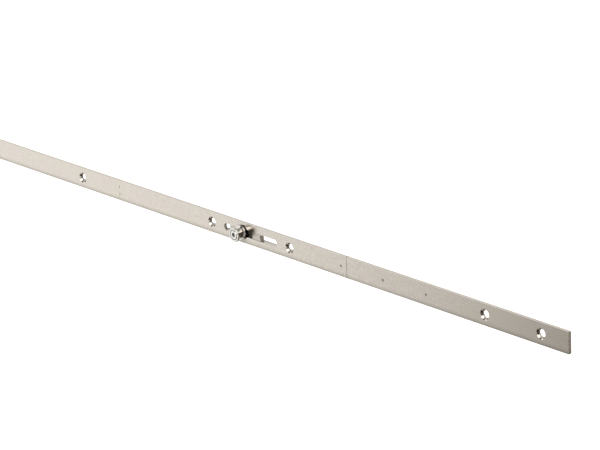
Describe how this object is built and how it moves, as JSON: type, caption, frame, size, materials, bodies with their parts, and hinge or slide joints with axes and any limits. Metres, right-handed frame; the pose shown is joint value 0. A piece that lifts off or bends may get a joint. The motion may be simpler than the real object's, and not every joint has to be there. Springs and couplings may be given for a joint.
{
  "type": "multipoint door lock",
  "caption": "Multipoint door lock: long flat faceplate with roller cams at two locking stations, sliding rails behind it, and a central case with latch, deadbolt and followers.",
  "frame": {"origin": "on the faceplate's back, where it seats in the door edge, in line with the spindle, at mid-width", "axes": "+X along the lock towards its lower end, +Y from the faceplate into the door edge, +Z across the faceplate; the lock lies on its narrow edge"},
  "size_m": [1.77, 0.063, 0.016],
  "materials": {
    "faceplate_steel": "satin nickel-silver plating",
    "splice_steel": "zinc plated",
    "rail_steel": "zinc plated",
    "case_steel": "zinc plated sheet",
    "cast_zinc": "cast zinc, tumbled",
    "fastener_steel": "zinc plated",
    "polished_nickel": "polished nickel",
    "washer_steel": "bright steel",
    "black_nylon": "moulded nylon",
    "bolt_nickel": "nickel plated",
    "spring_steel": "blued strip"
  },
  "bodies": {
    "lock_body": {"main_faceplate": "faceplate_steel", "lower_end_faceplate": "faceplate_steel", "upper_end_faceplate": "faceplate_steel", "lower_splice_plate": "splice_steel", "upper_splice_plate": "splice_steel", "lower_rail_guides": "splice_steel", "upper_rail_guides": "splice_steel", "case_base": "case_steel", "case_cover": "case_steel", "case_posts": "case_steel", "bolt_guide_post": "case_steel", "case_screws": "fastener_steel", "latch_spring": "spring_steel"},
    "drive_rails": {"lower_drive_rail": "rail_steel", "upper_drive_rail": "rail_steel", "rack_slide": "rail_steel", "lower_rail_coupler": "cast_zinc", "upper_rail_coupler": "cast_zinc", "coupler_pins": "fastener_steel", "coupler_rivets": "fastener_steel", "carrier_rivets": "fastener_steel", "lower_cam_carrier": "cast_zinc", "upper_cam_carrier": "cast_zinc", "lower_carrier_pad": "black_nylon", "upper_carrier_pad": "black_nylon"},
    "lower_cam_pin": {"lower_cam_pin": "polished_nickel", "lower_cam_washer": "washer_steel"},
    "lower_cam_roller": {"lower_cam_roller": "polished_nickel"},
    "upper_cam_pin": {"upper_cam_pin": "polished_nickel", "upper_cam_washer": "washer_steel"},
    "upper_cam_roller": {"upper_cam_roller": "polished_nickel"},
    "gear_follower": {"gear_follower": "rail_steel"},
    "latch_follower": {"latch_follower": "rail_steel", "latch_drive_pin": "fastener_steel"},
    "latch": {"latch_bolt": "bolt_nickel"},
    "deadbolt": {"deadbolt": "bolt_nickel"}
  },
  "joints": [
    {"name": "rail_travel", "type": "slide", "parent": "lock_body", "child": "drive_rails", "axis": [1, 0, 0], "range_m": [-0.0045, 0.012]},
    {"name": "gear_follower_turn", "type": "hinge", "parent": "lock_body", "child": "gear_follower", "pos_m": [0, 0.0325, 0], "axis": [0, 0, 1], "range_deg": [-16.3, 43.2]},
    {"name": "latch_travel", "type": "slide", "parent": "lock_body", "child": "latch", "axis": [0, 1, 0], "range_m": [0, 0.012], "stiffness_N_per_m": 250, "springref_m": -0.008, "deforming": ["latch_spring"]},
    {"name": "latch_follower_turn", "type": "hinge", "parent": "lock_body", "child": "latch_follower", "pos_m": [0, 0.0325, 0], "axis": [0, 0, 1], "range_deg": [-35.1, 0]},
    {"name": "bolt_travel", "type": "slide", "parent": "lock_body", "child": "deadbolt", "axis": [0, -1, 0], "range_m": [0, 0.02]},
    {"name": "lower_cam_adjust", "type": "hinge", "parent": "drive_rails", "child": "lower_cam_pin", "pos_m": [0.5609, -0.0005, 0], "axis": [0, 1, 0], "range_deg": [-90, 90]},
    {"name": "lower_roller_spin", "type": "hinge", "parent": "lower_cam_pin", "child": "lower_cam_roller", "pos_m": [0.5617, -0.007, 0], "axis": [0, 1, 0], "continuous": true},
    {"name": "upper_cam_adjust", "type": "hinge", "parent": "drive_rails", "child": "upper_cam_pin", "pos_m": [-0.5807, -0.0005, 0], "axis": [0, 1, 0], "range_deg": [-90, 90]},
    {"name": "upper_roller_spin", "type": "hinge", "parent": "upper_cam_pin", "child": "upper_cam_roller", "pos_m": [-0.5799, -0.007, 0], "axis": [0, 1, 0], "continuous": true}
  ],
  "couplings": [
    {"joint": "gear_follower_turn", "follows": "rail_travel", "rad_per_m": 62.5},
    {"joint": "latch_follower_turn", "follows": "latch_travel", "rad_per_m": -50.787}
  ]
}
